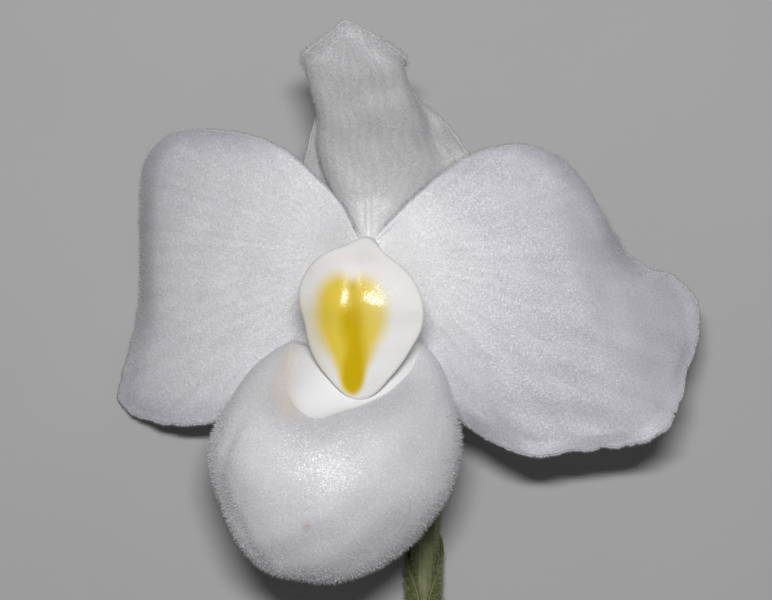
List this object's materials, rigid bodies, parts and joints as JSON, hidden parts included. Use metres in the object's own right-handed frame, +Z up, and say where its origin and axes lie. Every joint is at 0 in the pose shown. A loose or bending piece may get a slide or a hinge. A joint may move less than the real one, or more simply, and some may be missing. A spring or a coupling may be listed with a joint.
{
  "type": "paphiopedilum orchid flower",
  "caption": "White slipper orchid flower with broad rounded petals, a hollow pouch and a yellow-marked staminode, picked with its cut green stem and lying on its back.",
  "frame": {"origin": "bottom centre of the flower's bounding box, on the surface that it lies on", "axes": "+Y from the cut end of the stem towards the tip of the dorsal sepal, +Z up from the surface, the way the flower faces, +X to the right when looking down on it with the dorsal sepal at the top"},
  "size_m": [0.0863, 0.1438, 0.0352],
  "materials": {
    "petal_white": "velvety white petal tissue with a fine crystalline sparkle",
    "lip_white": "velvety white outside, smooth and glossy inside",
    "staminode_white_yellow": "glossy warm white with a golden yellow mark",
    "column_white": "smooth warm white, slightly wet",
    "anther_yellow": "soft, pollen-covered pale yellow",
    "ovary_green": "olive green with short white hairs",
    "bract_green": "pale olive green, thin and downy",
    "stem_green": "olive green with short hairs, pale at the cut"
  },
  "bodies": {
    "root": {"dorsal_sepal": "petal_white", "synsepal": "petal_white", "petal_left": "petal_white", "petal_right": "petal_white", "lip": "lip_white", "staminode": "staminode_white_yellow", "column": "column_white", "anther_left": "anther_yellow", "anther_right": "anther_yellow", "ovary": "ovary_green", "bract": "bract_green", "stem": "stem_green"}
  },
  "joints": []
}
